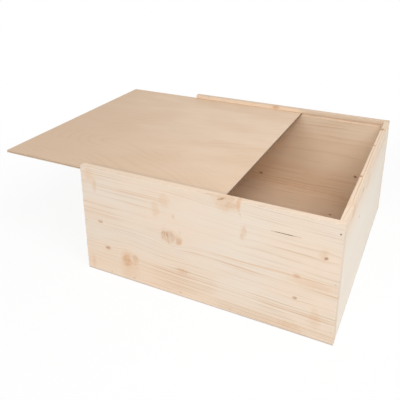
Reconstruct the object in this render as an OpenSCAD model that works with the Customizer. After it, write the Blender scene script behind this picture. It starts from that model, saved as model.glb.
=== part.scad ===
// Wooden box for wine bottles, with a lid that slides in grooves.
// The lid is drawn part of the way out towards -X, as the box is usually shown.
// Origin: centre of the underside. X runs along the front board, Y to the back, Z up.

/* [Box] */
// Outside length, along the front board
box_len = 390; // [300:5:600]
// Outside depth, from the front face to the back face
box_dep = 400; // [300:5:600]
// Outside height, up to the rim
box_h = 180; // [120:5:350]

/* [Boards] */
// Thickness of the front and back boards
side_t = 10; // [8:0.5:18]
// Thickness of the two end boards
end_t = 9; // [8:0.5:18]
// Thickness of the bottom board
bottom_t = 12; // [8:0.5:20]
// Radius of the eased edges of the boards
edge_r = 0.5; // [0.2:0.1:1.5]

/* [Sliding lid] */
// Thickness of the plywood lid
lid_t = 4; // [3:0.5:6]
// Depth of the lid's top face below the rim
lid_drop = 7; // [5:0.5:15]
// Depth of the lid grooves in the front, back and closed end boards
groove_d = 3.5; // [2.5:0.5:5]
// Running clearance above and below the lid in its grooves
face_gap = 0.4; // [0.3:0.1:0.8]
// Running clearance between the lid's edges and the groove bottoms
edge_gap = 0.5; // [0.3:0.1:1]
// Distance that the closed lid's pull edge stays behind the entry end's face
lid_setback = 2; // [0:0.5:6]
// Distance that the lid is drawn out
lid_open = 156; // [0:1:200]
// Radius of the lid's eased edges
lid_edge_r = 0.4; // [0.2:0.1:1]

/* [Nails] */
// Length of a nail
nail_len = 30; // [22:1:36]
// Radius of a nail's shank
shank_r = 0.8; // [0.6:0.1:1.1]
// Radius of a nail's head
head_r = 1.3; // [1.2:0.1:2]
// Height of a nail's head
head_h = 0.8; // [0.5:0.1:1.5]
// Length of a nail's point
point_len = 2.4; // [1:0.2:4]
// Depth of a driven head below the face of the board
head_set = 0.3; // [0.1:0.1:0.6]
// Clearance of a driven nail in its hole
nail_fit = 0.02; // [0.01:0.01:0.05]
// Number of nails up each corner
corner_nails = 3; // [2:1:5]
// Height of the lowest corner nail above the bottom board
corner_nail_rise = 8; // [4:1:30]
// Wood left between a lid groove and the highest nail's head
groove_wood = 0.9; // [0.6:0.1:10]
// Depth of the highest nail below the low end board's top edge
entry_nail_drop = 12; // [6:1:30]
// Number of nails along each edge of the bottom board
bottom_nails = 4; // [2:1:8]
// Distance of the first and last bottom nails from the corners
bottom_nail_inset = 45; // [42:1:80]

/* [Hidden] */

// Places of the outer faces, and of the inner length and depth between the boards
end_x = box_len / 2;
face_y = box_dep / 2;
inner_len = box_len - 2 * end_t;
inner_dep = box_dep - 2 * side_t;

// The lid, and the groove that it runs in
lid_top = box_h - lid_drop;
groove_low = lid_top - lid_t - face_gap;
groove_high = lid_top + face_gap;
groove_h = groove_high - groove_low;
groove_end = end_x - end_t + groove_d;
lid_w = inner_dep + 2 * (groove_d - edge_gap);
lid_left = lid_setback - end_x;
lid_len = groove_end - edge_gap - lid_left;

// Nail places: the end boards' middle planes, and heights up the corners
end_mid_x = end_x - end_t / 2;
bottom_mid_z = bottom_t / 2;
corner_low = bottom_t + corner_nail_rise;
closed_corner_top = groove_low - head_r - groove_wood;
entry_corner_top = groove_low - entry_nail_drop;

// Colours of the bare wood and of the nails
spruce = [0.93, 0.85, 0.74];
plywood = [0.85, 0.74, 0.63];
steel = [0.52, 0.51, 0.50];

// Steps in each quarter arc of an eased edge, and segments round a nail
arc_steps = 3;
round_fn = 24;
// Distance that a cut runs past the face that it leaves
over = 1;

// Even places from the first to the last, both included
function even_places(first, last, count) =
    [for (i = [0 : count - 1]) first + (last - first) * i / (count - 1)];

// Quarter arc of an outline's corner
function corner_arc(cx, cy, r, start) =
    [for (i = [0 : arc_steps])
        let (a = start + 90 * i / arc_steps) [cx + r * cos(a), cy + r * sin(a)]];

// Outline of a section w by h with its four corners eased
function eased_outline(w, h, r) = concat(
    corner_arc(w - r, r, r, 270),
    corner_arc(w - r, h - r, r, 0),
    corner_arc(r, h - r, r, 90),
    corner_arc(r, r, r, 180));

// Bars with eased long edges, from the origin, running along X, Y and Z
module bar_x(size, r) {
    rotate([90, 0, 90])
        linear_extrude(height = size[0])
            polygon(eased_outline(size[1], size[2], r));
}

module bar_y(size, r) {
    translate([0, size[1], 0])
        rotate([90, 0, 0])
            linear_extrude(height = size[1])
                polygon(eased_outline(size[0], size[2], r));
}

module bar_z(size, r) {
    linear_extrude(height = size[2])
        polygon(eased_outline(size[0], size[1], r));
}

// Board with all twelve edges eased
module eased_board(size, r) {
    intersection() {
        bar_x(size, r);
        bar_y(size, r);
        bar_z(size, r);
    }
}

// Nail driven along +Z through the face at z = 0
module nail() {
    tip = nail_len + head_set;
    rotate_extrude($fn = round_fn)
        polygon([
            [0, head_set],
            [head_r, head_set],
            [head_r, head_set + head_h],
            [shank_r, head_set + head_h],
            [shank_r, tip - point_len],
            [0, tip]
        ]);
}

// Hole that the nail makes, open at the face
module nail_hole() {
    translate([0, 0, -over])
        cylinder(h = over + head_set + head_h + nail_fit, r = head_r + nail_fit, $fn = round_fn);
    cylinder(h = nail_len + head_set + nail_fit, r = shank_r + nail_fit, $fn = round_fn);
}

// Nails up the corners, through the front and back boards into the end boards
module corner_places() {
    for (z = even_places(corner_low, closed_corner_top, corner_nails))
        translate([end_mid_x, 0, z])
            children();
    for (z = even_places(corner_low, entry_corner_top, corner_nails))
        translate([-end_mid_x, 0, z])
            children();
}

// Nails along the bottom board's edges, spread over a side of the given length
module bottom_places(length) {
    reach = length / 2 - bottom_nail_inset;
    for (u = even_places(-reach, reach, bottom_nails))
        translate([u, 0, bottom_mid_z])
            children();
}

module front_corner() {
    translate([0, -face_y, 0])
        corner_places()
            rotate([-90, 0, 0])
                children();
}

module back_corner() {
    translate([0, face_y, 0])
        corner_places()
            rotate([90, 0, 0])
                children();
}

module front_bottom() {
    translate([0, -face_y, 0])
        bottom_places(box_len)
            rotate([-90, 0, 0])
                children();
}

module back_bottom() {
    rotate(180)
        front_bottom()
            children();
}

module closed_end_bottom() {
    rotate(90)
        translate([0, -end_x, 0])
            bottom_places(box_dep)
                rotate([-90, 0, 0])
                    children();
}

module entry_end_bottom() {
    rotate(180)
        closed_end_bottom()
            children();
}

// Groove in the front board: open at the entry end, with the cutter's round stop
// hidden behind the closed end board
module side_groove() {
    translate([-end_x - over, -face_y + side_t - groove_d, groove_low])
        cube([groove_end + end_x + over, groove_d + over, groove_h]);
    translate([groove_end, -face_y + side_t - groove_d, groove_low + groove_h / 2])
        rotate([-90, 0, 0])
            cylinder(h = groove_d + over, r = groove_h / 2, $fn = round_fn);
}

module front_board() {
    color(spruce)
        difference() {
            translate([-end_x, -face_y, 0])
                eased_board([box_len, side_t, box_h], edge_r);
            side_groove();
            front_corner() nail_hole();
            front_bottom() nail_hole();
        }
}

module back_board() {
    color(spruce)
        difference() {
            translate([-end_x, face_y - side_t, 0])
                eased_board([box_len, side_t, box_h], edge_r);
            mirror([0, 1, 0])
                side_groove();
            back_corner() nail_hole();
            back_bottom() nail_hole();
        }
}

// Full height end, with the groove that the closed lid's edge enters
module closed_end_board() {
    color(spruce)
        difference() {
            translate([end_x - end_t, -inner_dep / 2, 0])
                bar_y([end_t, inner_dep, box_h], edge_r);
            translate([end_x - end_t - over, -inner_dep / 2 - over, groove_low])
                cube([groove_d + over, inner_dep + 2 * over, groove_h]);
            front_corner() nail_hole();
            back_corner() nail_hole();
            closed_end_bottom() nail_hole();
        }
}

// Low end, that the lid passes over
module entry_end_board() {
    color(spruce)
        difference() {
            translate([-end_x, -inner_dep / 2, 0])
                bar_y([end_t, inner_dep, groove_low], edge_r);
            front_corner() nail_hole();
            back_corner() nail_hole();
            entry_end_bottom() nail_hole();
        }
}

// Bottom between the four boards, flush with their lower edges
module bottom_board() {
    color(spruce)
        difference() {
            translate([-inner_len / 2, -inner_dep / 2, 0])
                cube([inner_len, inner_dep, bottom_t]);
            front_bottom() nail_hole();
            back_bottom() nail_hole();
            closed_end_bottom() nail_hole();
            entry_end_bottom() nail_hole();
        }
}

module sliding_lid() {
    color(plywood)
        translate([lid_left - lid_open, -lid_w / 2, lid_top - lid_t])
            eased_board([lid_len, lid_w, lid_t], lid_edge_r);
}

module front_corner_nails() {
    color(steel) front_corner() nail();
}

module back_corner_nails() {
    color(steel) back_corner() nail();
}

module front_bottom_nails() {
    color(steel) front_bottom() nail();
}

module back_bottom_nails() {
    color(steel) back_bottom() nail();
}

module closed_end_bottom_nails() {
    color(steel) closed_end_bottom() nail();
}

module entry_end_bottom_nails() {
    color(steel) entry_end_bottom() nail();
}

front_board();
back_board();
closed_end_board();
entry_end_board();
bottom_board();
sliding_lid();
front_corner_nails();
back_corner_nails();
front_bottom_nails();
back_bottom_nails();
closed_end_bottom_nails();
entry_end_bottom_nails();
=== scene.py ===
import math

import bpy
from mathutils import Matrix, Vector


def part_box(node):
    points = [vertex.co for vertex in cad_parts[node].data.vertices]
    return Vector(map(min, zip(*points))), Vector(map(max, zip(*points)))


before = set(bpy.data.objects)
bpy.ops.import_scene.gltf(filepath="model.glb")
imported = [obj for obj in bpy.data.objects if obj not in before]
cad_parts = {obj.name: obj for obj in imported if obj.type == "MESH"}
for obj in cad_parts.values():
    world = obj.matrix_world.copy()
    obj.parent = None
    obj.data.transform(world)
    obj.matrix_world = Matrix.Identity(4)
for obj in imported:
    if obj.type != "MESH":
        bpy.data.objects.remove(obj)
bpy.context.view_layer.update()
scene = bpy.context.scene
print("frame loaded:", len(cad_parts), "pieces")


def srgb(red, green, blue):
    # a screen colour, 0 to 255, as the linear colour that a socket takes
    linear = [c / 12.92 if c <= 0.04045 else ((c + 0.055) / 1.055) ** 2.4
              for c in (red / 255, green / 255, blue / 255)]
    return (*linear, 1.0)


# Camera and stage

cameraView = {
    "place": (0.27268, -0.74723, 0.5033),
    "azimuth": 26.118,
    "elevation": 20.6,
    "roll": -0.22,
    "lens": 46.373,
    "shiftDown": 0.185,  # share of the picture's width
}


def makeCamera(view):
    around, above, roll = (math.radians(view[k]) for k in ("azimuth", "elevation", "roll"))
    back = Vector((math.sin(around) * math.cos(above),
                   -math.cos(around) * math.cos(above),
                   math.sin(above)))
    right = Vector((0, 0, 1)).cross(back).normalized()
    up = back.cross(right)
    turned = Matrix((right, up, back)).transposed() @ Matrix.Rotation(roll, 3, "Z")
    camera = bpy.data.objects.new("camera", bpy.data.cameras.new("camera"))
    scene.collection.objects.link(camera)
    camera.location = view["place"]
    camera.rotation_mode = "QUATERNION"
    camera.rotation_quaternion = turned.to_quaternion()
    camera.data.lens = view["lens"]
    camera.data.shift_y = -view["shiftDown"]
    scene.camera = camera


makeCamera(cameraView)
print("camera set")


# Small helpers for node trees

def addNode(tree, kind, inputs=None, **settings):
    node = tree.nodes.new(kind)
    for name, value in settings.items():
        setattr(node, name, value)
    for key, value in (inputs or {}).items():
        if isinstance(value, bpy.types.NodeSocket):
            tree.links.new(value, node.inputs[key])
        else:
            node.inputs[key].default_value = value
    return node


def calc(tree, operation, *values, clamp=False):
    node = addNode(tree, "ShaderNodeMath", dict(enumerate(values)),
                   operation=operation, use_clamp=clamp)
    return node.outputs[0]


def times(tree, *values):
    result = values[0]
    for value in values[1:]:
        result = calc(tree, "MULTIPLY", result, value)
    return result


def plus(tree, *values):
    result = values[0]
    for value in values[1:]:
        result = calc(tree, "ADD", result, value)
    return result


def vectorCalc(tree, operation, *values):
    node = addNode(tree, "ShaderNodeVectorMath", dict(enumerate(values)), operation=operation)
    return node.outputs["Value" if operation in ("LENGTH", "DOT_PRODUCT") else "Vector"]


def scaled(tree, vector, factor):
    node = addNode(tree, "ShaderNodeVectorMath", {0: vector, "Scale": factor}, operation="SCALE")
    return node.outputs["Vector"]


def remap(tree, value, low, high, toLow=0.0, toHigh=1.0):
    # eases from toLow at low to toHigh at high, and holds both beyond
    node = addNode(tree, "ShaderNodeMapRange",
                   {"Value": value, "From Min": low, "From Max": high,
                    "To Min": toLow, "To Max": toHigh}, interpolation_type="SMOOTHSTEP")
    return node.outputs["Result"]


def noise(tree, vector, seed, detail=2.0, rough=0.5, repeats=(1, 1, 1), colour=False):
    # repeats are waves per millimetre along, across and through the wood
    apart = calc(tree, "MULTIPLY", seed, 7.31)
    place = vectorCalc(tree, "MULTIPLY_ADD", vector, repeats, apart)
    node = addNode(tree, "ShaderNodeTexNoise",
                   {"Vector": place, "Scale": 1.0, "Detail": detail, "Roughness": rough})
    return node.outputs["Color" if colour else "Fac"]


def mixColour(tree, share, first, second, blend="MIX"):
    node = addNode(tree, "ShaderNodeMix", data_type="RGBA", blend_type=blend)
    for key, value in ((0, share), (6, first), (7, second)):
        if isinstance(value, bpy.types.NodeSocket):
            tree.links.new(value, node.inputs[key])
        else:
            node.inputs[key].default_value = value
    return node.outputs[2]


def ramp(tree, value, stops):
    # stops are (place, grey)
    node = addNode(tree, "ShaderNodeValToRGB", {"Fac": value})
    points = node.color_ramp.elements
    while len(points) < len(stops):
        points.new(1.0)
    for point, (place, grey) in zip(points, stops):
        point.position = place
        point.color = (grey, grey, grey, 1.0)
    return node.outputs["Color"]


def newGroup(name, inputs, outputs):
    # a shader node group with named sockets, with its input and output nodes
    tree = bpy.data.node_groups.new(name, "ShaderNodeTree")
    for kind, sockets in (("INPUT", inputs), ("OUTPUT", outputs)):
        for socketName, socketType, *value in sockets:
            socket = tree.interface.new_socket(socketName, in_out=kind,
                                               socket_type="NodeSocket" + socketType)
            if value:
                socket.default_value = value[0]
    return tree, tree.nodes.new("NodeGroupInput").outputs, tree.nodes.new("NodeGroupOutput")


def closeGroup(tree, end, values):
    for name, value in values.items():
        tree.links.new(value, end.inputs[name])


def placeGroup(tree, group, inputs):
    # a group node with its inputs linked or set
    node = addNode(tree, "ShaderNodeGroup", node_tree=group)
    for name, value in inputs.items():
        if isinstance(value, bpy.types.NodeSocket):
            tree.links.new(value, node.inputs[name])
        else:
            node.inputs[name].default_value = value
    return node.outputs


# Knot: turns the grain aside round it, as water round a stone, and masks its parts

def makeKnotGroup():
    masks = ("Body", "Rings", "Core", "Halo")
    tree, given, end = newGroup(
        "knot",
        [("Grain", "Vector"), *((mask, "Float", 0.0) for mask in masks),
         ("Centre", "Vector"), ("Radius", "Float", 4.0), ("Length", "Float", 1.2),
         ("Lean", "Float", 0.0), ("Round", "Float", 0.0), ("Ragged", "Float", 0.6),
         ("Brown", "Float", 0.8), ("Black", "Float", 0.0), ("Glow", "Float", 0.4),
         ("Seed", "Float", 0.0)],
        [("Grain", "Vector"), *((mask, "Float") for mask in masks)])
    offset = vectorCalc(tree, "SUBTRACT", given["Grain"], given["Centre"])
    parts = addNode(tree, "ShaderNodeSeparateXYZ", {0: offset}).outputs
    leaning = calc(tree, "MULTIPLY_ADD", parts["Y"], given["Lean"], parts["X"])
    along = calc(tree, "DIVIDE", leaning, given["Length"])
    # a knot runs through the board, and a round one stays near its centre
    depth = times(tree, parts["Z"], given["Round"])
    squares = plus(tree, times(tree, along, along), times(tree, parts["Y"], parts["Y"]),
                   times(tree, depth, depth))
    away = calc(tree, "DIVIDE", calc(tree, "SQRT", squares), given["Radius"])
    # the outline is ragged, coarsely and finely
    coarse = noise(tree, given["Grain"], given["Seed"], 0.0, 0.5, (0.12, 0.12, 0.01))
    fine = noise(tree, given["Grain"], given["Seed"], 1.0, 0.6, (0.5, 0.35, 0.02))
    uneven = plus(tree, coarse, times(tree, fine, 1.5), -1.25)
    away = calc(tree, "MULTIPLY_ADD", uneven, given["Ragged"], away)
    near = calc(tree, "DIVIDE", 1.0, calc(tree, "MAXIMUM", times(tree, away, away), 1.0))
    # a faint knot turns the grain less
    force = calc(tree, "MINIMUM", times(tree, given["Brown"], 1.4), 0.85)
    push = addNode(tree, "ShaderNodeCombineXYZ",
                   {"Y": times(tree, near, parts["Y"], force, -1.0)}).outputs[0]
    # the knot's own year rings, 0.42 to the millimetre, and bark round part of it
    years = calc(tree, "FRACT", times(tree, away, given["Radius"], 0.42))
    bark = times(tree, remap(tree, away, 0.7, 0.92), remap(tree, away, 1.15, 0.95),
                 remap(tree, coarse, 0.42, 0.6), 0.5)
    # short strokes run across a cut knot
    strokes = noise(tree, given["Grain"], given["Seed"], 1.0, 0.5, (0.28, 0.07, 0.02))
    density = remap(tree, strokes, 0.36, 0.6, 0.35, 1.0)
    body = times(tree, remap(tree, away, 1.15, 0.8), given["Brown"], density)
    rings = calc(tree, "MAXIMUM", remap(tree, years, 0.3, 0.9, 0.0, 0.8), bark)
    rings = times(tree, rings, remap(tree, away, 1.2, 1.0))
    core = times(tree, remap(tree, away, 0.85, 0.35), given["Black"])
    halo = times(tree, remap(tree, away, 2.0, 0.8), given["Glow"])
    made = {"Body": body, "Rings": rings, "Core": core, "Halo": halo}
    closeGroup(tree, end, {"Grain": vectorCalc(tree, "ADD", given["Grain"], push),
                           **{m: calc(tree, "MAXIMUM", given[m], made[m]) for m in masks}})
    return tree


# Fibre: fine streaks along the grain, shared by the boards and the plywood

def makeFibreGroup():
    tree, given, end = newGroup(
        "fibre",
        [("Grain", "Vector"), ("Seed", "Float", 0.0)],
        [("Streak", "Float"), ("Fleck", "Float"), ("Patch", "Float")])
    streak = noise(tree, given["Grain"], given["Seed"], 4.0, 0.65, (0.02, 1.1, 1.1))
    fleck = noise(tree, given["Grain"], given["Seed"], 1.0, 0.5, (0.12, 2.6, 2.6))
    patch = noise(tree, given["Grain"], given["Seed"], 2.0, 0.5, (0.009, 0.02, 0.02))
    closeGroup(tree, end, {
        "Streak": remap(tree, streak, 0.3, 0.7),
        "Fleck": remap(tree, fleck, 0.64, 0.8),
        "Patch": remap(tree, patch, 0.34, 0.66)})
    return tree


# Edge wear and painted foot shade: a mask along the edges of a board, from its box in millimetres, and
# painted contact shade along its foot

def makeEdgeGroup():
    tree, given, end = newGroup(
        "edgeWearAndFootShade",
        [("Place", "Vector"), ("Low", "Vector"), ("High", "Vector"),
         ("Width", "Float", 2.0), ("Seed", "Float", 0.0)],
        [("Mask", "Float")])
    fromLow = vectorCalc(tree, "SUBTRACT", given["Place"], given["Low"])
    fromHigh = vectorCalc(tree, "SUBTRACT", given["High"], given["Place"])
    depth = addNode(tree, "ShaderNodeSeparateXYZ",
                    {0: vectorCalc(tree, "MINIMUM", fromLow, fromHigh)}).outputs
    # of the three depths the second least is the way to the nearest edge
    least = calc(tree, "MINIMUM", depth["X"], depth["Y"])
    most = calc(tree, "MAXIMUM", depth["X"], depth["Y"])
    edge = calc(tree, "MAXIMUM", least, calc(tree, "MINIMUM", most, depth["Z"]))
    uneven = noise(tree, given["Place"], given["Seed"], 3.0, 0.6, (0.06, 0.06, 0.06))
    share = calc(tree, "DIVIDE", edge, given["Width"])
    share = calc(tree, "MULTIPLY_ADD", uneven, 2.4, plus(tree, share, -1.2))
    # painted contact shade: the box's foot is darker all round, in the lowest few millimetres
    height = addNode(tree, "ShaderNodeSeparateXYZ", {0: given["Place"]}).outputs["Z"]
    foot = remap(tree, calc(tree, "MULTIPLY_ADD", uneven, 2.0, height), 4.4, 2.2, 0.0, 2.2)
    closeGroup(tree, end, {"Mask": calc(tree, "MAXIMUM", foot, remap(tree, share, 1.0, 0.0))})
    return tree


# Spruce: year rings round a pith outside the board, with early and late wood

sprucePaint = {
    "late": srgb(204, 166, 126),
    "red": srgb(216, 164, 126),
    "halo": srgb(226, 188, 150),
    "knotLight": srgb(208, 174, 146),
    "knotOrange": srgb(222, 174, 128),
    "knotDark": srgb(164, 118, 88),
    "core": srgb(104, 74, 54),
    "end": srgb(214, 187, 158),
    # painted light: a paler tone that lifts the shade on the groove's walls
    "grooveLight": srgb(250, 230, 208),
    # a tone for worn edges, and painted contact shade along the foot
    "soiledAndShaded": srgb(190, 177, 167),
}
spruceFigure = {
    # lengths in millimetres, shares from 0 to 1
    "waver": 1.1,               # how far the rings waver
    "uneven": 2.4,              # how much wide and narrow rings differ
    "darkBand": (4.2, 0.8),     # from a dark year: its band starts at the first, full at the second
    "calmReach": (16.0, 56.0),  # from the calm point: lines are faintest, then full
    "calmLines": 0.2,           # share of the lines that is left there
    "busyLines": 2.0,           # strength added to the lines beyond the busy radius
    "warmReach": (100.0, 15.0),
    "band": 0.24,               # shares of each effect in the late wood's tone
    "thin": 0.22,
    "streak": 0.08,
    "fleck": 0.12,
    "top": 0.9,                 # shares of the tones laid over the wood
    "halo": 0.6,
    "end": 0.16,
    "edge": 0.26,
}


def makeSpruceGroup(paint, figure):
    tree, given, end = newGroup(
        "spruceWood",
        [("Grain", "Vector"), ("Body", "Float", 0.0), ("Rings", "Float", 0.0),
         ("Core", "Float", 0.0), ("Halo", "Float", 0.0),
         ("End", "Float", 0.0), ("Edge", "Float", 0.0), ("Pith height", "Float", 100.0),
         ("Pith depth", "Float", 60.0), ("Pith slope", "Float", 0.0),
         ("Ring", "Float", 4.0), ("Taper", "Float", 0.0), ("Bend", "Float", 5.0),
         ("Dark years", "Vector", (0.0, 0.0, 0.0)), ("Dark middles", "Vector", (0.0, 0.0, 0.0)),
         ("Dark reaches", "Vector", (400.0, 400.0, 400.0)),
         ("Dark sides", "Vector", (0.0, 0.0, 0.0)), ("Lines", "Float", 0.4),
         ("Calm", "Vector", (0.0, 0.0, 0.0)), ("Warm", "Vector", (0.0, 0.0, 0.0)),
         ("Busy", "Float", 100.0), ("Busy from", "Float", -500.0),
         ("Pale tone", "Color"), ("Warm tone", "Color"), ("Bleached tone", "Color"),
         ("Top tone", "Color"), ("Bleach", "Float", 0.0), ("Top", "Float", 0.0),
         ("Fresh", "Float", 0.0), ("Seed", "Float", 0.0)],
        [("Color", "Color"), ("Roughness", "Float"), ("Height", "Float")])
    grain, seed = given["Grain"], given["Seed"]
    # the pith wanders slowly along the log, and the rings waver a little
    middle = (0.5, 0.5, 0.5)
    slow = noise(tree, grain, seed, 1.0, 0.5, (0.0035, 0.006, 0.006), colour=True)
    quick = noise(tree, grain, seed, 2.0, 0.5, (0.02, 0.06, 0.06), colour=True)
    slowPush = scaled(tree, vectorCalc(tree, "SUBTRACT", slow, middle), given["Bend"])
    quickPush = vectorCalc(tree, "MULTIPLY", vectorCalc(tree, "SUBTRACT", quick, middle),
                           (0, figure["waver"], figure["waver"]))
    bent = vectorCalc(tree, "ADD", vectorCalc(tree, "ADD", grain, slowPush), quickPush)
    parts = addNode(tree, "ShaderNodeSeparateXYZ", {0: bent}).outputs
    high = calc(tree, "SUBTRACT", parts["Y"], given["Pith height"])
    high = calc(tree, "SUBTRACT", high, times(tree, parts["X"], given["Pith slope"]))
    deep = calc(tree, "SUBTRACT", parts["Z"], given["Pith depth"])
    radius = calc(tree, "SQRT", plus(tree, times(tree, high, high), times(tree, deep, deep)))
    radius = calc(tree, "MULTIPLY_ADD", parts["X"], given["Taper"], radius)
    # rings are wide and narrow in turn
    width = addNode(tree, "ShaderNodeTexNoise",
                    {"W": calc(tree, "MULTIPLY_ADD", radius, 0.09, seed),
                     "Scale": 1.0, "Detail": 1.0}, noise_dimensions="1D").outputs["Fac"]
    years = plus(tree, calc(tree, "DIVIDE", radius, given["Ring"]),
                 times(tree, width, figure["uneven"]))
    line = ramp(tree, calc(tree, "FRACT", years),
                [(0.0, 0.0), (0.55, 0.03), (0.78, 0.32), (0.9, 1.0), (0.955, 0.85), (1.0, 0.0)])
    faint = ramp(tree, calc(tree, "FRACT", times(tree, years, 1.3)),
                 [(0.0, 0.0), (0.45, 0.1), (0.75, 1.0), (1.0, 0.0)])
    # some years are darker than others, and each line fades in and out along its length
    year = plus(tree, calc(tree, "FLOOR", years), seed)
    single = addNode(tree, "ShaderNodeTexWhiteNoise", {"W": year},
                     noise_dimensions="1D").outputs["Value"]
    dark, middles, reaches, sides = (
        addNode(tree, "ShaderNodeSeparateXYZ", {0: given["Dark " + k]}).outputs
        for k in ("years", "middles", "reaches", "sides"))
    bunch = 0.0
    for axis in ("X", "Y", "Z"):
        off = calc(tree, "ABSOLUTE", calc(tree, "SUBTRACT", radius, dark[axis]))
        along = calc(tree, "ABSOLUTE", calc(tree, "SUBTRACT", parts["X"], middles[axis]))
        along = calc(tree, "DIVIDE", along, reaches[axis])
        side = times(tree, high, sides[axis])  # above or below the pith, or both
        near = times(tree, remap(tree, off, *figure["darkBand"]), remap(tree, along, 1.0, 0.6),
                     remap(tree, side, -8.0, 0.0))
        bunch = calc(tree, "MAXIMUM", bunch, near)
    fade = noise(tree, grain, seed, 1.0, 0.5, (0.013, 0.05, 0.05))
    fade = remap(tree, fade, 0.35, 0.62, 0.25, 1.0)
    # lines are faint round the calm point, and stronger beyond the busy radius
    calmWay = vectorCalc(tree, "SUBTRACT", grain, given["Calm"])
    calmWay = vectorCalc(tree, "LENGTH", vectorCalc(tree, "MULTIPLY", calmWay, (0.4, 1, 0)))
    calm = remap(tree, calmWay, *figure["calmReach"], figure["calmLines"], 1.0)
    busy = times(tree, remap(tree, calc(tree, "SUBTRACT", radius, given["Busy"]), -12.0, 8.0),
                 remap(tree, calc(tree, "SUBTRACT", parts["X"], given["Busy from"]), -50.0, 30.0))
    busy = calc(tree, "MULTIPLY_ADD", busy, figure["busyLines"], 1.0)
    fade = times(tree, fade, calm)
    strength = times(tree, plus(tree, times(tree, single, 0.8), 0.25),
                     plus(tree, bunch, 1.0), fade, busy)
    line = times(tree, line, strength)
    band = times(tree, bunch, fade, plus(tree, faint, 0.3))
    fibre = placeGroup(tree, bpy.data.node_groups["fibre"], {"Grain": grain, "Seed": seed})
    streak, fleck, patch = (fibre[k] for k in ("Streak", "Fleck", "Patch"))
    # colour, from the pale early wood up, and warmer round the warm point
    warmWay = vectorCalc(tree, "SUBTRACT", grain, given["Warm"])
    warmWay = vectorCalc(tree, "LENGTH", vectorCalc(tree, "MULTIPLY", warmWay, (0.3, 1, 0)))
    warm = remap(tree, warmWay, *figure["warmReach"])
    warm = times(tree, plus(tree, patch, warm), 0.5)
    colour = mixColour(tree, warm, given["Pale tone"], given["Warm tone"])
    colour = mixColour(tree, times(tree, given["Top"], figure["top"]), colour, given["Top tone"])
    colour = mixColour(tree, given["Bleach"], colour, given["Bleached tone"])
    colour = mixColour(tree, times(tree, given["Halo"], figure["halo"]), colour, paint["halo"])
    colour = mixColour(tree, times(tree, given["End"], figure["end"]), colour, paint["end"])
    thin = times(tree, faint, fade, plus(tree, times(tree, busy, figure["thin"]), -0.1))
    lines = plus(tree, line, times(tree, band, figure["band"]), thin)
    shade = plus(tree, times(tree, lines, given["Lines"]),
                 times(tree, streak, figure["streak"]), times(tree, fleck, figure["fleck"]))
    late = mixColour(tree, times(tree, bunch, fade, 0.7), paint["late"], paint["red"])
    colour = mixColour(tree, calc(tree, "MINIMUM", shade, 0.9), colour, late)
    # knots: a brown body with rings of its own and a dark core
    knotColour = mixColour(tree, given["Halo"], paint["knotLight"], paint["knotOrange"])
    knotColour = mixColour(tree, times(tree, given["Rings"], 0.5), knotColour, paint["knotDark"])
    colour = mixColour(tree, given["Body"], colour, knotColour)
    colour = mixColour(tree, given["Core"], colour, paint["core"])
    # edge wear, and painted contact shade along the foot
    colour = mixColour(tree, times(tree, given["Edge"], figure["edge"]), colour, paint["soiledAndShaded"])
    # painted light on the groove's walls
    colour = mixColour(tree, given["Fresh"], colour, paint["grooveLight"])
    rough = plus(tree, 0.6, times(tree, streak, 0.12), times(tree, given["Body"], -0.12),
                 times(tree, given["End"], 0.12))
    height = plus(tree, times(tree, line, 0.4), times(tree, streak, 0.5), times(tree, fleck, -0.4),
                  times(tree, given["Core"], -1.4), times(tree, given["Edge"], -0.6))
    closeGroup(tree, end, {"Color": colour, "Roughness": rough, "Height": height})
    return tree


knotGroup = makeKnotGroup()
fibreGroup = makeFibreGroup()
edgeGroup = makeEdgeGroup()
spruceGroup = makeSpruceGroup(sprucePaint, spruceFigure)
print("node groups built")


# Boards. Patterns are in millimetres, with X along the grain, Y across and Z through the board

grainAxes = {
    "alongX": Matrix(((1, 0, 0), (0, 0, 1), (0, -1, 0))),  # front and back boards
    "alongY": Matrix(((0, 1, 0), (0, 0, 1), (1, 0, 0))),   # end boards
    "flat": Matrix.Identity(3),                            # bottom and lid
}


def newMaterial(name):
    material = bpy.data.materials.new(name)
    material.use_nodes = True
    tree = material.node_tree
    tree.nodes.clear()
    output = tree.nodes.new("ShaderNodeOutputMaterial")
    shader = tree.nodes.new("ShaderNodeBsdfPrincipled")
    tree.links.new(shader.outputs[0], output.inputs["Surface"])
    return material, tree, shader


def grainPlace(tree, axes):
    # the piece's own coordinates in millimetres, turned so that X runs along the grain,
    # and a mask of the faces that cut the grain square across
    coordinates = addNode(tree, "ShaderNodeTexCoord").outputs
    mapping = addNode(tree, "ShaderNodeMapping",
                      {"Vector": coordinates["Object"],
                       "Rotation": grainAxes[axes].to_euler(),
                       "Scale": (1000, 1000, 1000)})
    facing = vectorCalc(tree, "DOT_PRODUCT", coordinates["Normal"], tuple(grainAxes[axes][0]))
    return mapping.outputs[0], remap(tree, calc(tree, "ABSOLUTE", facing), 0.6, 0.9)


def boxMillimetres(nodeName):
    return [tuple(1000 * c for c in corner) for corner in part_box(nodeName)]


def edgeMask(tree, nodeName, width, seed):
    low, high = boxMillimetres(nodeName)
    coordinates = addNode(tree, "ShaderNodeTexCoord").outputs["Object"]
    place = scaled(tree, coordinates, 1000.0)
    return placeGroup(tree, edgeGroup, {"Place": place, "Low": low, "High": high,
                                        "Width": width, "Seed": seed})["Mask"]


def addKnots(tree, grain, knots, seed):
    # passes the grain through one knot group after another, and gathers their masks
    flow = {"Grain": grain}
    for count, knot in enumerate(knots):
        values = {name.capitalize(): value for name, value in knot.items()
                  if name not in ("at", "depth")}
        made = placeGroup(tree, knotGroup, {**flow, "Centre": (*knot["at"], knot.get("depth", 0)),
                                            "Seed": seed + 0.7 * count, **values})
        flow = {name: made[name] for name in ("Grain", "Body", "Rings", "Core", "Halo")}
    return flow


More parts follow.
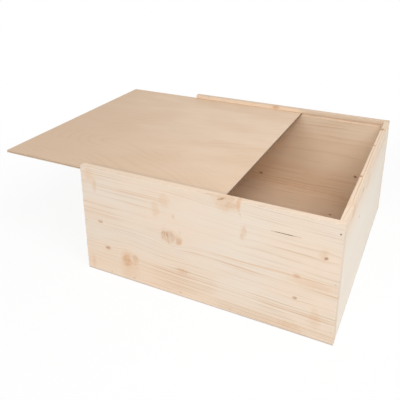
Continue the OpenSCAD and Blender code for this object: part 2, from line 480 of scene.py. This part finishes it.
def grooveLightMask(tree, board, parts):
    # painted light: a mask of the groove's walls, from the lid that runs in it, where a paler tone lifts
    # the shade in the groove
    lidLow, lidHigh = boxMillimetres("sliding_lid")
    faces = [grainAxes[board["axes"]] @ Vector(corner) for corner in boxMillimetres(board["node"])]
    inner, outer = sorted((face.z for face in faces), key=abs)
    cut = times(tree, parts["Z"], 1.0 if outer > inner else -1.0)
    inner = abs(inner)
    return times(tree, remap(tree, parts["Y"], lidLow[2] - 1.1, lidLow[2] - 0.6),
                 remap(tree, parts["Y"], lidHigh[2] + 1.1, lidHigh[2] + 0.6),
                 remap(tree, cut, inner, inner + 0.2),
                 remap(tree, cut, inner + 6.1, inner + 5.9))


def boardMaterial(board):
    material, tree, shader = newMaterial(board["name"])
    grain, endGrain = grainPlace(tree, board["axes"])
    flow = addKnots(tree, grain, board["knots"], board["seed"])
    # the face turned this way is bleached, less so towards its top
    parts = addNode(tree, "ShaderNodeSeparateXYZ", {0: grain}).outputs
    normal = addNode(tree, "ShaderNodeTexCoord").outputs["Normal"]
    facing = remap(tree, vectorCalc(tree, "DOT_PRODUCT", normal, board["outward"]), 0.4, 0.8)
    upward = vectorCalc(tree, "DOT_PRODUCT", normal, (0, 0, 1))
    bleach = times(tree, facing, remap(tree, parts["Y"], 180.0, 110.0, 0.35, 1.0), board["bleach"])
    lines = calc(tree, "MULTIPLY_ADD", facing, board["outerLines"] - board["lines"], board["lines"])
    wood = placeGroup(tree, spruceGroup, {
        **flow, "End": endGrain, "Top": remap(tree, upward, 0.5, 0.9), "Bleach": bleach,
        "Edge": edgeMask(tree, board["node"], board["wear"], board["seed"]),
        "Fresh": grooveLightMask(tree, board, parts) if board["grooved"] else 0.0,
        "Pale tone": board["pale"], "Warm tone": board["warmTone"],
        "Bleached tone": board["bleached"], "Top tone": board["topTone"],
        "Pith height": board["pithHeight"], "Pith depth": board["pithDepth"],
        "Pith slope": board["pithSlope"], "Ring": board["ring"], "Taper": board["taper"],
        "Bend": board["bend"], "Dark years": board["darkYears"],
        "Dark middles": board["darkMiddles"], "Dark reaches": board["darkReaches"],
        "Dark sides": board["darkSides"], "Lines": lines, "Calm": (*board["calm"], 0),
        "Warm": (*board["warm"], 0), "Busy": board["busy"], "Busy from": board["busyFrom"],
        "Seed": board["seed"]})
    bump = addNode(tree, "ShaderNodeBump", {"Strength": 0.35, "Distance": 0.0004,
                                            "Height": wood["Height"]})
    tree.links.new(wood["Color"], shader.inputs["Base Color"])
    tree.links.new(wood["Roughness"], shader.inputs["Roughness"])
    tree.links.new(bump.outputs[0], shader.inputs["Normal"])
    shader.inputs["Specular IOR Level"].default_value = 0.25
    return material


# Each board's values: the place of its pith, the width of a year ring, its darker years as
# radii with the middles and reaches of their dark stretches, the side of the pith that they
# show on (0 for both), the points round which its lines are calm and its tone warm, the radius
# and place from which its lines are busy, and the strength of the lines on its inner and outer
# faces. A knot stands at a place along and across the grain.

frontBoard = {
    "name": "frontBoard", "node": "front_board", "axes": "alongX", "seed": 3.0, "wear": 0.9,
    "pithHeight": 123.0, "pithDepth": 182.0, "pithSlope": -0.028, "ring": 4.2, "taper": 0.0,
    "bend": 6.0, "darkYears": (30.0, 46.0, 87.0), "darkMiddles": (-150, 120, 70),
    "darkReaches": (140, 170, 200), "darkSides": (0, -1, -1),
    "calm": (5, 122), "busy": 81.0, "busyFrom": -60, "warm": (-150, -12),
    "lines": 0.5, "outerLines": 0.6,
    "pale": srgb(236, 222, 206), "warmTone": srgb(240, 217, 194), "topTone": srgb(240, 217, 194),
    "outward": (0, -1, 0), "bleached": srgb(236, 229, 218), "bleach": 0.0, "grooved": True,
    "knots": [
        {"at": (-51.5, 98), "radius": 8.0, "length": 0.8, "brown": 0.85, "glow": 0.3},
        {"at": (-42, 97.5), "radius": 7.5, "length": 1.1, "brown": 0.5, "glow": 0.3},
        {"at": (-29.5, 95.5), "radius": 4.6, "length": 0.9, "brown": 0.6, "black": 0.08, "glow": 0.6},
        {"at": (-27.5, 106), "radius": 3.0, "length": 0.5, "brown": 0.35, "glow": 0.2},
        {"at": (-120, 36.5), "radius": 11.0, "length": 0.65, "brown": 0.5, "glow": 0.9},
        {"at": (-117, 22.5), "radius": 10.0, "ragged": 1.0, "brown": 0.06, "glow": 0.5},
        {"at": (-105, 39.5), "radius": 6.5, "length": 0.7, "ragged": 0.9, "brown": 0.35, "glow": 0.6},
        {"at": (-109, 11), "radius": 2.0, "brown": 0.5, "glow": 0.3},
        {"at": (-165.5, 90.5), "radius": 2.8, "length": 1.5, "brown": 0.8, "black": 0.2, "glow": 0.3},
        {"at": (-154, 48), "radius": 3.2, "length": 1.5, "brown": 0.8, "black": 0.3, "glow": 0.3},
        {"at": (140.5, 57), "radius": 2.6, "length": 1.2, "brown": 0.8, "black": 0.32, "glow": 0.2},
        {"at": (141.5, 91), "radius": 3.2, "length": 1.3, "brown": 0.4, "black": 0.08, "glow": 0.4},
        {"at": (176, 128), "radius": 2.6, "length": 1.1, "brown": 0.8, "black": 0.4, "glow": 0.5},
        {"at": (173, 130.5), "radius": 5.5, "length": 0.8, "ragged": 1.0, "brown": 0.15, "glow": 0.45},
        {"at": (67.5, 136), "radius": 8.0, "length": 0.4, "ragged": 1.0, "brown": 0.2, "glow": 0.4},
        {"at": (65.5, 130), "radius": 4.0, "length": 0.6, "brown": 0.3, "glow": 0.5},
        {"at": (36.3, 177), "depth": 200, "round": 1, "radius": 4.2, "length": 0.9, "lean": -2.0,
         "brown": 0.85, "black": 0.25},
        {"at": (41.5, 172), "radius": 9.0, "length": 1.3, "ragged": 1.0, "brown": 0.03, "glow": 0.7},
        {"at": (58.5, 174), "radius": 7.0, "length": 0.35, "ragged": 1.0, "brown": 0.3, "glow": 1.0},
        {"at": (61, 163), "radius": 6.0, "length": 0.16, "lean": 0.3, "ragged": 0.3, "brown": 0.3,
         "glow": 0.3},
        {"at": (47, 170), "radius": 4.0, "length": 2.0, "lean": -0.8, "ragged": 0.8, "brown": 0.28,
         "glow": 0.6},
        {"at": (-38, 128.5), "radius": 3.5, "length": 0.6, "ragged": 1.0, "brown": 0.2, "glow": 0.4},
        {"at": (-53, 150.5), "radius": 7.0, "length": 0.9, "ragged": 1.0, "brown": 0.05, "glow": 0.5},
        {"at": (-67, 134.5), "radius": 8.0, "length": 0.6, "ragged": 1.0, "brown": 0.05, "glow": 0.5},
        {"at": (-24.5, 47.5), "radius": 3.6, "length": 2.3, "ragged": 1.0, "brown": 0.36, "glow": 0.4},
        {"at": (-28, 9.5), "radius": 1.8, "brown": 0.45, "glow": 0.3},
        {"at": (104, 90.5), "radius": 1.0, "length": 70.0, "ragged": 0.2, "brown": 0.22, "glow": 0.8},
        {"at": (163, 85), "radius": 4.0, "length": 6.0, "ragged": 0.8, "brown": 0.0, "glow": 0.6},
        {"at": (-171, 151), "radius": 7.0, "length": 0.35, "ragged": 1.0, "brown": 0.0, "glow": 0.7},
        {"at": (-180, 166), "radius": 9.0, "length": 0.5, "ragged": 1.0, "brown": 0.0, "glow": 0.5},
        {"at": (-184, 16), "radius": 7.0, "length": 0.4, "ragged": 1.0, "brown": 0.0, "glow": 0.6},
        {"at": (168.5, 35.5), "radius": 10.0, "length": 0.6, "ragged": 1.0, "brown": 0.04, "glow": 0.45},
        {"at": (137.5, 11), "radius": 4.0, "length": 3.0, "ragged": 1.0, "brown": 0.1, "glow": 0.5},
        # a fine open check in the wood
        {"at": (123, 148), "radius": 0.8, "length": 28.0, "ragged": 0.15, "brown": 1.0,
         "black": 0.8, "glow": 0.0},
    ],
}
backBoard = {
    "name": "backBoard", "node": "back_board", "axes": "alongX", "seed": 11.0, "wear": 0.9,
    "pithHeight": 90.0, "pithDepth": -280.0, "pithSlope": 0.008, "ring": 4.4, "taper": 0.0,
    "bend": 5.0, "darkYears": (97.7, 93.0, 118.0),
    "darkMiddles": (0, 0, 0), "darkReaches": (400, 400, 400), "darkSides": (0, 0, 0),
    "calm": (-80, 90), "busy": 104.0, "busyFrom": -500, "warm": (0, 0),
    "lines": 0.19, "outerLines": 0.55,
    "pale": srgb(247, 226, 201), "warmTone": srgb(243, 214, 184), "topTone": srgb(226, 200, 174),
    "outward": (0, 1, 0), "bleached": srgb(236, 229, 218), "bleach": 0.0, "grooved": True,
    "knots": [
        {"at": (147, 59.5), "radius": 2.8, "length": 1.3, "brown": 0.8, "black": 0.6, "glow": 0.4},
        {"at": (-19, 178), "radius": 4.0, "length": 1.5, "brown": 0.5, "black": 0.1, "glow": 0.5},
        {"at": (-118, 124), "radius": 9.0, "length": 1.1, "brown": 0.7, "black": 0.1, "glow": 0.6},
        {"at": (-132, 128), "radius": 5.0, "length": 0.8, "brown": 0.5, "glow": 0.5},
        {"at": (52, 48), "depth": -200, "round": 1, "radius": 6.5, "length": 1.2, "brown": 0.7,
         "black": 0.3, "glow": 0.6},
        {"at": (104, 138), "depth": -200, "round": 1, "radius": 4.0, "length": 1.3, "brown": 0.8,
         "black": 0.4, "glow": 0.5},
        {"at": (-44, 30), "radius": 3.0, "length": 1.4, "brown": 0.8, "black": 0.5, "glow": 0.4},
    ],
}
closedEndBoard = {
    "name": "closedEndBoard", "node": "closed_end_board", "axes": "alongY",
    "seed": 21.0, "wear": 0.9,
    "pithHeight": 60.0, "pithDepth": 110.0, "pithSlope": 0.02, "ring": 5.0, "taper": 0.01,
    "bend": 6.0, "darkYears": (138.0, 128.0, 20.0),
    "darkMiddles": (0, 0, 0), "darkReaches": (400, 400, 400), "darkSides": (0, 0, 0),
    "calm": (60, 60), "busy": 134.0, "busyFrom": -500, "warm": (-150, 200),
    "lines": 0.4, "outerLines": 0.12,
    "pale": srgb(238, 219, 197), "warmTone": srgb(236, 208, 180), "topTone": srgb(243, 221, 198),
    "outward": (1, 0, 0), "bleached": srgb(241, 235, 224), "bleach": 0.85, "grooved": True,
    "knots": [
        {"at": (-72, 166), "radius": 3.2, "length": 1.3, "brown": 0.7, "black": 0.4, "glow": 0.5},
        {"at": (-85, 131), "radius": 2.4, "length": 1.2, "brown": 0.7, "black": 0.5, "glow": 0.5},
        # painted shade: three dark knots on the rim stand for the shade in small chips at its inner edge
        {"at": (146, 180), "depth": 188, "round": 1, "radius": 4.2, "brown": 1.0,
         "black": 0.5, "glow": 0.9},
        {"at": (66, 180), "depth": 187, "round": 1, "radius": 2.2, "brown": 0.9,
         "black": 0.5, "glow": 0.6},
        {"at": (-58, 180), "depth": 187, "round": 1, "radius": 2.6, "brown": 0.9,
         "black": 0.5, "glow": 0.7},
        {"at": (-142, 171), "radius": 6.0, "length": 2.2, "ragged": 1.0, "brown": 0.15, "glow": 0.6},
        {"at": (-24, 158), "radius": 7.0, "length": 2.0, "ragged": 1.0, "brown": 0.1, "glow": 0.4},
    ],
}
entryEndBoard = {
    "name": "entryEndBoard", "node": "entry_end_board", "axes": "alongY", "seed": 31.0, "wear": 0.9,
    "pithHeight": 70.0, "pithDepth": -120.0, "pithSlope": 0.01, "ring": 4.6, "taper": 0.01,
    "bend": 6.0, "darkYears": (82.0, 96.0, 118.0),
    "darkMiddles": (0, 0, 0), "darkReaches": (400, 400, 400), "darkSides": (0, 0, 0),
    "calm": (80, 30), "busy": 100.0, "busyFrom": -500, "warm": (100, 0),
    "lines": 0.4, "outerLines": 0.55,
    "pale": srgb(236, 222, 205), "warmTone": srgb(235, 211, 186), "topTone": srgb(235, 211, 186),
    "outward": (-1, 0, 0), "bleached": srgb(236, 229, 218), "bleach": 0.15, "grooved": False,
    "knots": [
        {"at": (62, 88), "radius": 7.0, "length": 1.2, "brown": 0.7, "black": 0.15, "glow": 0.5},
        {"at": (-118, 46), "radius": 3.0, "length": 1.4, "brown": 0.8, "black": 0.5, "glow": 0.4},
        {"at": (-40, 128), "radius": 5.0, "length": 1.3, "brown": 0.4, "glow": 0.5},
    ],
}
bottomBoard = {
    "name": "bottomBoard", "node": "bottom_board", "axes": "flat", "seed": 41.0, "wear": 0.9,
    "pithHeight": 20.0, "pithDepth": -60.0, "pithSlope": 0.01, "ring": 4.8, "taper": 0.0,
    "bend": 8.0, "darkYears": (90.0, 110.0, 150.0),
    "darkMiddles": (0, 0, 0), "darkReaches": (400, 400, 400), "darkSides": (0, 0, 0),
    "calm": (60, 10), "busy": 140.0, "busyFrom": -500, "warm": (-100, -100),
    "lines": 0.4, "outerLines": 0.5,
    "pale": srgb(235, 219, 200), "warmTone": srgb(233, 207, 180), "topTone": srgb(233, 207, 180),
    "outward": (0, 0, -1), "bleached": srgb(236, 229, 218), "bleach": 0.0, "grooved": False,
    "knots": [
        {"at": (-60, 70), "radius": 9.0, "length": 1.2, "brown": 0.7, "black": 0.15, "glow": 0.5},
        {"at": (90, -95), "radius": 5.0, "length": 1.3, "brown": 0.7, "black": 0.4, "glow": 0.5},
        {"at": (120, 110), "radius": 3.0, "length": 1.3, "brown": 0.8, "black": 0.5, "glow": 0.4},
    ],
}

for board in (frontBoard, backBoard, closedEndBoard, entryEndBoard, bottomBoard):
    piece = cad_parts[board["node"]]
    piece.data.materials.clear()
    piece.data.materials.append(boardMaterial(board))
print("boards finished")


# Lid of plywood: peeled veneer on both faces, and the plies on its edges

lidVeneer = {
    "name": "lidPlywood", "node": "sliding_lid", "seed": 51.0, "wear": 2.0,
    "pale": srgb(236, 210, 184), "warm": srgb(230, 201, 172), "late": srgb(202, 163, 130),
    "coreCut": srgb(182, 150, 122), "faceCut": srgb(222, 198, 172), "endCut": srgb(118, 82, 56),
    # of the last two tones, the first is for worn edges and for painted shade along the front margin,
    # the second for painted shade towards the free end
    "soiledAndShaded": srgb(178, 158, 138), "deep": srgb(219, 191, 163),
    "tip": -87.0,     # millimetres towards the back from the middle, where the figure's arches turn
    "slope": 0.36,    # rise of the arches along the lid
    "figure": 10.6,   # millimetres between the figure's lines
    "figureShare": 0.18, "streakShare": 0.1, "fleckShare": 0.2,
}


def lidMaterial(lid):
    material, tree, shader = newMaterial(lid["name"])
    grain, endGrain = grainPlace(tree, "flat")
    parts = addNode(tree, "ShaderNodeSeparateXYZ", {0: grain}).outputs
    # the peeled figure is the outline of a slowly rolling surface
    rolling = noise(tree, grain, lid["seed"], 1.0, 0.4, (0.006, 0.011, 0.0))
    side = calc(tree, "SUBTRACT", parts["Y"], lid["tip"])
    arch = calc(tree, "SQRT", plus(tree, times(tree, side, side), 900.0))
    slanted = calc(tree, "MULTIPLY_ADD", parts["X"], -lid["slope"], arch)
    level = plus(tree, calc(tree, "DIVIDE", slanted, lid["figure"]), times(tree, rolling, 6.0))
    figure = ramp(tree, calc(tree, "FRACT", level),
                  [(0.0, 0.1), (0.5, 0.0), (0.78, 0.5), (0.88, 1.0), (1.0, 0.1)])
    fade = noise(tree, grain, lid["seed"] + 5, 1.0, 0.5, (0.014, 0.03, 0.0))
    fade = remap(tree, fade, 0.38, 0.62)
    slantGrain = addNode(tree, "ShaderNodeCombineXYZ",
                         {"X": parts["X"], "Y": plus(tree, parts["Y"], times(tree, slanted, 0.3)),
                          "Z": parts["Z"]}).outputs[0]
    fibre = placeGroup(tree, fibreGroup, {"Grain": slantGrain, "Seed": lid["seed"]})
    low, high = boxMillimetres(lid["node"])
    # painted shade: the sheet is darker towards its free end and its front, where less light falls
    paintedFalloff = remap(tree, plus(tree, parts["X"], times(tree, parts["Y"], 0.9)),
                  low[0] - 170.0, high[0] + 30.0, 1.0, 0.0)
    # painted shade: the front margin is darker as far as the lid goes in, where the front board's lip
    # shades it
    paintedLipShade = times(tree, remap(tree, parts["Y"], low[1] + 24.0, low[1] + 15.0),
                   remap(tree, parts["X"], low[0] + 125.0, low[0] + 170.0), 0.3)
    colour = mixColour(tree, fibre["Patch"], lid["pale"], lid["warm"])
    colour = mixColour(tree, paintedFalloff, colour, lid["deep"])
    shade = plus(tree, times(tree, figure, fade, lid["figureShare"]),
                 times(tree, fibre["Streak"], lid["streakShare"]),
                 times(tree, fibre["Fleck"], lid["fleckShare"]))
    colour = mixColour(tree, calc(tree, "MINIMUM", shade, 0.9), colour, lid["late"])
    # the edges show three plies, with the middle one cut across where the others aren't
    middle = (low[2] + high[2]) / 2
    ply = calc(tree, "ABSOLUTE", calc(tree, "SUBTRACT", parts["Z"], middle))
    inner = remap(tree, ply, 0.75, 0.55)
    normal = addNode(tree, "ShaderNodeTexCoord").outputs["Normal"]
    upright = calc(tree, "ABSOLUTE", vectorCalc(tree, "DOT_PRODUCT", normal, (0, 0, 1)))
    onEdge = remap(tree, upright, 0.75, 0.45)
    cut = mixColour(tree, inner, lid["faceCut"], lid["coreCut"])
    # the cut ends of the plies are dark end grain, darkened further as painted shade
    cut = mixColour(tree, times(tree, endGrain, 0.75), cut, lid["endCut"])
    # painted shade along the front margin
    colour = mixColour(tree, paintedLipShade, colour, lid["soiledAndShaded"])
    colour = mixColour(tree, onEdge, colour, cut)
    edge = edgeMask(tree, lid["node"], lid["wear"], lid["seed"])
    colour = mixColour(tree, times(tree, edge, 0.35), colour, lid["soiledAndShaded"])
    height = plus(tree, times(tree, fibre["Streak"], 0.5), times(tree, fibre["Fleck"], -0.5),
                  times(tree, onEdge, inner, -0.6))
    bump = addNode(tree, "ShaderNodeBump", {"Strength": 0.3, "Distance": 0.0003, "Height": height})
    tree.links.new(colour, shader.inputs["Base Color"])
    rough = calc(tree, "MULTIPLY_ADD", fibre["Streak"], 0.12, 0.56)
    tree.links.new(rough, shader.inputs["Roughness"])
    tree.links.new(bump.outputs[0], shader.inputs["Normal"])
    shader.inputs["Specular IOR Level"].default_value = 0.25
    return material


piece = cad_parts[lidVeneer["node"]]
piece.data.materials.clear()
piece.data.materials.append(lidMaterial(lidVeneer))
print("lid finished")


# Nails

nailLook = {
    "bright": srgb(224, 204, 182), "dull": srgb(208, 188, 164),
    "tarnished": srgb(150, 130, 116),
    "at": (190.5, -200, 166.4),  # millimetres, the head that has tarnished
}


def nailMaterial(look):
    material, tree, shader = newMaterial("nailSteel")
    place = scaled(tree, addNode(tree, "ShaderNodeTexCoord").outputs["Object"], 1000.0)
    spots = noise(tree, place, 1.0, 3.0, 0.6, (0.9, 0.9, 0.9))
    dull = remap(tree, spots, 0.4, 0.62)
    away = vectorCalc(tree, "LENGTH", vectorCalc(tree, "SUBTRACT", place, look["at"]))
    colour = mixColour(tree, dull, look["bright"], look["dull"])
    colour = mixColour(tree, remap(tree, away, 40.0, 10.0), colour, look["tarnished"])
    tree.links.new(colour, shader.inputs["Base Color"])
    tree.links.new(calc(tree, "MULTIPLY_ADD", dull, 0.25, 0.35), shader.inputs["Roughness"])
    shader.inputs["Metallic"].default_value = 0.1
    return material


steel = nailMaterial(nailLook)
for name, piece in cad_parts.items():
    if name.endswith("nails"):
        piece.data.materials.clear()
        piece.data.materials.append(steel)
print("nails finished")


# Floor, light and white surroundings

stage = {
    "size": 40.0,              # metres
    "white": srgb(250, 250, 250),
    "plain": (0.32, 0.85),     # metres from the middle between which the floor turns plain white
    "soften": 0.88,            # how much of the shadow near the box is lifted
    "softLight": 0.3,          # strength of the surroundings as light
    "aim": (0, 0, 0.08),       # the point that every lamp faces
}
lamps = [
    {"name": "keyLamp", "place": (0.75, -0.6, 1.35), "size": 0.9, "power": 12.6},
    {"name": "frontLamp", "place": (-0.1, -1.6, 0.9), "size": 0.9, "power": 8.0},
    {"name": "sideLamp", "place": (1.8, 0.6, 0.6), "size": 1.0, "power": 4.9},
    {"name": "leftLamp", "place": (-1.8, 0.2, 0.7), "size": 1.2, "power": 7.0},
    {"name": "backLamp", "place": (-0.5, 1.7, 0.7), "size": 1.2, "power": 5.0},
]


def makeFloor(values):
    bpy.ops.mesh.primitive_plane_add(size=values["size"])
    floor = bpy.context.object
    floor.name = "floor"
    material, tree, shader = newMaterial("floorWhite")
    shader.inputs["Base Color"].default_value = values["white"]
    shader.inputs["Roughness"].default_value = 0.9
    shader.inputs["Specular IOR Level"].default_value = 0.0
    far = addNode(tree, "ShaderNodeTexCoord").outputs["Object"]
    plain = remap(tree, vectorCalc(tree, "LENGTH", far), *values["plain"], values["soften"], 1.0)
    seen = addNode(tree, "ShaderNodeLightPath").outputs["Is Camera Ray"]
    glow = addNode(tree, "ShaderNodeEmission", {"Color": (1, 1, 1, 1), "Strength": 1.0})
    mix = addNode(tree, "ShaderNodeMixShader",
                  {0: times(tree, plain, seen), 1: shader.outputs[0], 2: glow.outputs[0]})
    output = [n for n in tree.nodes if n.type == "OUTPUT_MATERIAL"][0]
    tree.links.new(mix.outputs[0], output.inputs["Surface"])
    floor.data.materials.append(material)


def makeWorld(values):
    world = bpy.data.worlds.new("studio")
    scene.world = world
    world.use_nodes = True
    tree = world.node_tree
    tree.nodes.clear()
    output = tree.nodes.new("ShaderNodeOutputWorld")
    paths = addNode(tree, "ShaderNodeLightPath").outputs
    soft = addNode(tree, "ShaderNodeBackground",
                   {"Color": (1, 1, 1, 1), "Strength": values["softLight"]})
    white = addNode(tree, "ShaderNodeBackground", {"Color": (1, 1, 1, 1), "Strength": 1.0})
    seen = calc(tree, "MAXIMUM", paths["Is Camera Ray"], paths["Is Glossy Ray"])
    mix = addNode(tree, "ShaderNodeMixShader", {0: seen, 1: soft.outputs[0], 2: white.outputs[0]})
    tree.links.new(mix.outputs[0], output.inputs["Surface"])


def makeLamp(values, aim):
    lamp = bpy.data.objects.new(values["name"], bpy.data.lights.new(values["name"], "AREA"))
    lamp.data.shape = "DISK"
    lamp.data.size = values["size"]
    lamp.data.energy = values["power"]
    lamp.location = values["place"]
    way = Vector(aim) - Vector(values["place"])
    lamp.rotation_euler = way.to_track_quat("-Z", "Y").to_euler()
    scene.collection.objects.link(lamp)


makeFloor(stage)
makeWorld(stage)
for lamp in lamps:
    makeLamp(lamp, stage["aim"])
scene.view_settings.view_transform = "Standard"
print("stage set")
